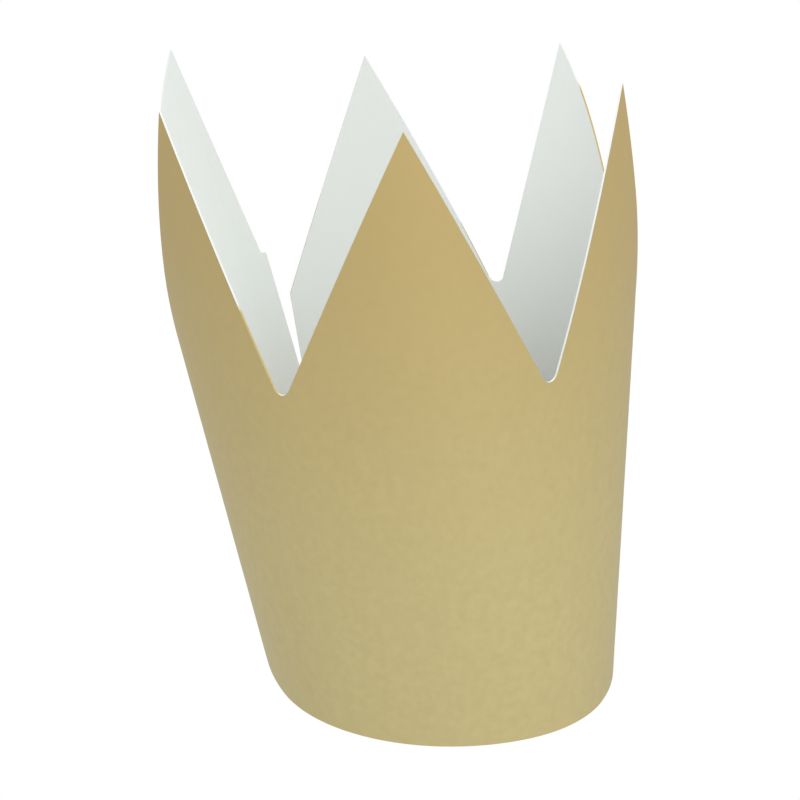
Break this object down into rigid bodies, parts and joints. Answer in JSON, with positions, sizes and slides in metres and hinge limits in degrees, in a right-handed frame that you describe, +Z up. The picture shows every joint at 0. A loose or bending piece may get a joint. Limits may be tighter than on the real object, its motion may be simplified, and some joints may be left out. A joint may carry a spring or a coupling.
{
  "type": "paper crown",
  "caption": "Paper party crown: a die-cut strip of foil card curved into a flared ring with pointed spikes, lapped and taped at the back.",
  "frame": {"origin": "middle of the footprint's bounding box, on the surface the crown stands on", "axes": "+Z up, -Y the front, where a whole spike faces forwards"},
  "size_m": [0.1168, 0.1258, 0.1552],
  "materials": {
    "foil_card": "satin gold foil outside, matt white inside",
    "tape": "thin double-sided tape"
  },
  "bodies": {
    "root": {"crown_card": "foil_card", "seam_tape": "tape"}
  },
  "joints": []
}
